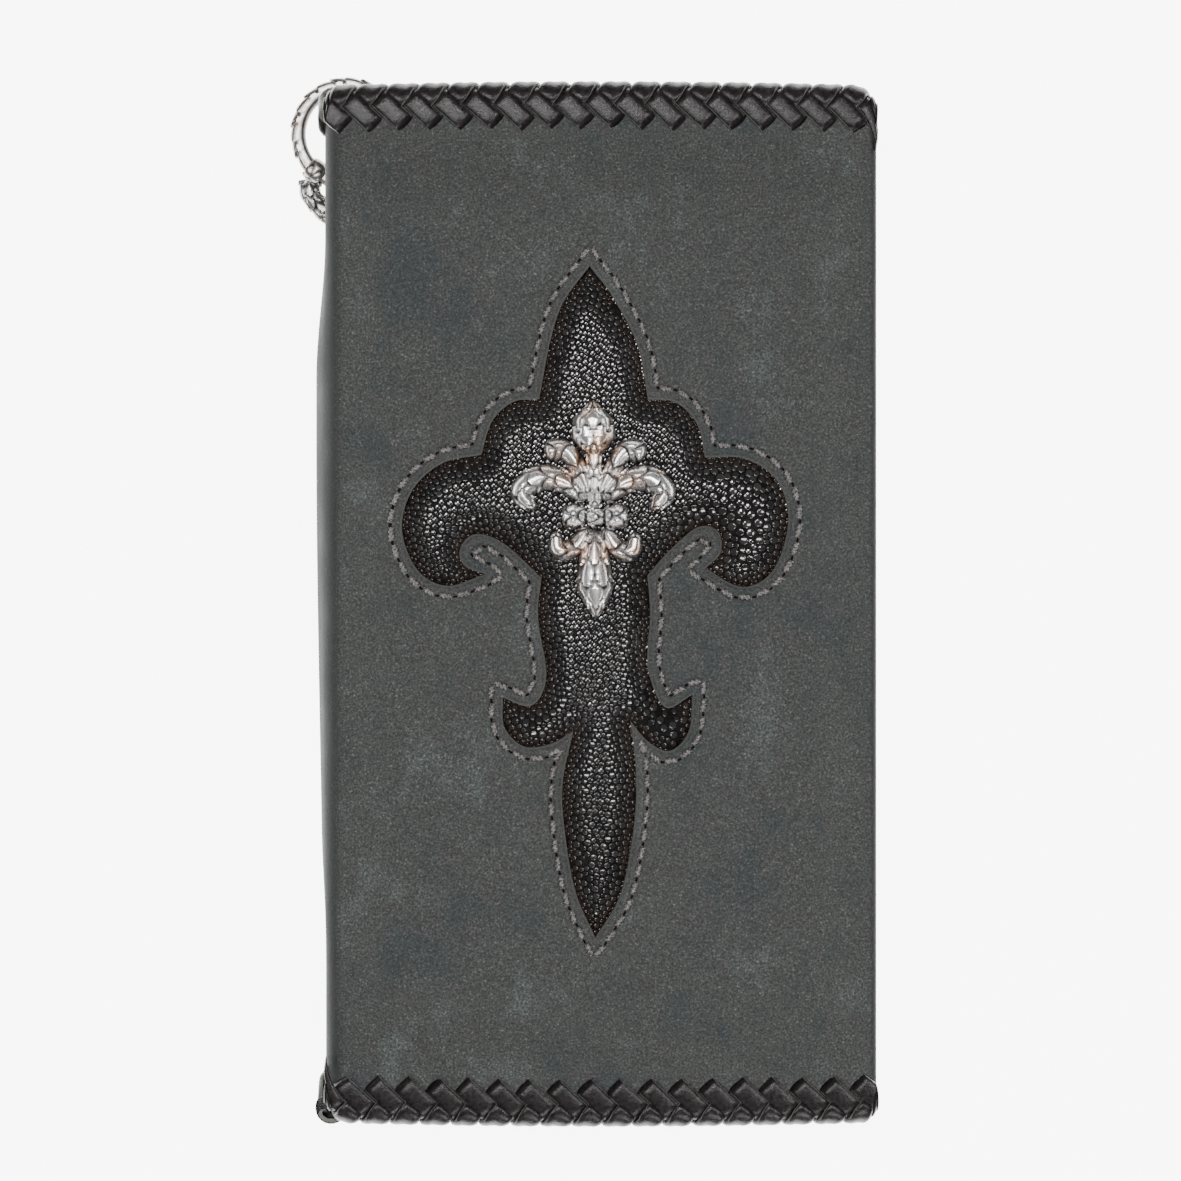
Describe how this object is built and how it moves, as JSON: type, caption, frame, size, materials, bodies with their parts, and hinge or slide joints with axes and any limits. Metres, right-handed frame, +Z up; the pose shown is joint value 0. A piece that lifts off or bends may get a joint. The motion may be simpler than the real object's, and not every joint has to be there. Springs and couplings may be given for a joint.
{
  "type": "chain wallet",
  "caption": "Long bifold leather wallet with laced ends, a padded stingray inlay under a fleur-de-lis concho, a zipped coin pouch and a silver chain ring on a swinging bail.",
  "frame": {"origin": "middle of the flat of the back cover, on the surface that the closed wallet lies on", "axes": "+X from the spine to the free edge, +Y along the spine towards the chain ring, +Z up through the front cover"},
  "size_m": [0.108, 0.1932, 0.0308],
  "materials": {
    "nubuck_leather": "slate grey-green nubuck, matt, softly mottled",
    "smooth_leather": "black smooth leather, satin",
    "lacing": "flat calf lace, near black, satin",
    "stingray_skin": "polished black beads",
    "foam": "felt padding",
    "backing_leather": "thin undyed split leather",
    "thread": "waxed grey-black thread",
    "oxidised_silver": "polished silver with dark recesses",
    "zip_metal": "aged brass",
    "zip_cloth": "black woven tape"
  },
  "bodies": {
    "back_half": {"back_cover": "nubuck_leather", "back_lining": "smooth_leather", "coin_pouch_rear": "smooth_leather", "coin_pouch_gusset": "smooth_leather", "coin_pouch_front": "smooth_leather", "back_lacing_upper": "lacing", "back_lacing_lower": "lacing", "bail_plate": "oxidised_silver", "bail_pin": "oxidised_silver", "bail_rivet_lower": "oxidised_silver", "bail_rivet_upper": "oxidised_silver", "zip_teeth": "zip_metal", "zip_top_stop": "zip_metal", "zip_bottom_stop": "zip_metal", "zip_tape_spine_side": "zip_cloth", "zip_tape_edge_side": "zip_cloth"},
    "spine": {"spine_leather": "nubuck_leather", "spine_lining": "smooth_leather", "spine_lacing_upper": "lacing", "spine_lacing_lower": "lacing"},
    "front_half": {"front_cover": "nubuck_leather", "front_lining": "smooth_leather", "front_lacing_upper": "lacing", "front_lacing_lower": "lacing", "stingray_inlay": "stingray_skin", "inlay_padding": "foam", "inlay_backing": "backing_leather", "inlay_stitching": "thread", "fleur_concho": "oxidised_silver", "concho_post_upper": "oxidised_silver", "concho_post_lower": "oxidised_silver", "concho_screw_upper": "oxidised_silver", "concho_screw_lower": "oxidised_silver", "front_bill_panel": "smooth_leather", "card_pocket_upper_1": "smooth_leather", "card_pocket_upper_2": "smooth_leather", "card_pocket_upper_3": "smooth_leather", "card_pocket_lower_1": "smooth_leather", "card_pocket_lower_2": "smooth_leather", "card_pocket_lower_3": "smooth_leather"},
    "bail": {"chain_bail": "oxidised_silver"},
    "ring": {"chain_ring": "oxidised_silver"},
    "slider": {"zip_slider": "zip_metal", "pull_stud": "zip_metal"},
    "pull": {"zip_pull": "zip_metal"}
  },
  "joints": [
    {"name": "spine_fold", "type": "hinge", "parent": "back_half", "child": "spine", "pos_m": [-0.05025, 0, 0.0062], "axis": [0, -1, 0], "range_deg": [0, 88]},
    {"name": "cover_fold", "type": "hinge", "parent": "spine", "child": "front_half", "pos_m": [-0.05025, 0, 0.0222], "axis": [0, -1, 0], "range_deg": [0, 88]},
    {"name": "bail_swing", "type": "hinge", "parent": "back_half", "child": "bail", "pos_m": [-0.0486, 0.0726, 0.0028], "axis": [0, 0, 1], "range_deg": [0, 95]},
    {"name": "ring_turn", "type": "hinge", "parent": "bail", "child": "ring", "pos_m": [-0.0475, 0.088, 0.0028], "axis": [0, 0, 1], "continuous": true},
    {"name": "slider_slide", "type": "slide", "parent": "back_half", "child": "slider", "axis": [0, -1, 0], "range_m": [0, 0.12]},
    {"name": "pull_swing", "type": "hinge", "parent": "slider", "child": "pull", "pos_m": [0.024, 0.06, 0.0138], "axis": [0, 0, 1], "range_deg": [-35, 35]}
  ],
  "couplings": [
    {"joint": "spine_fold", "follows": "cover_fold", "ratio": 1}
  ]
}
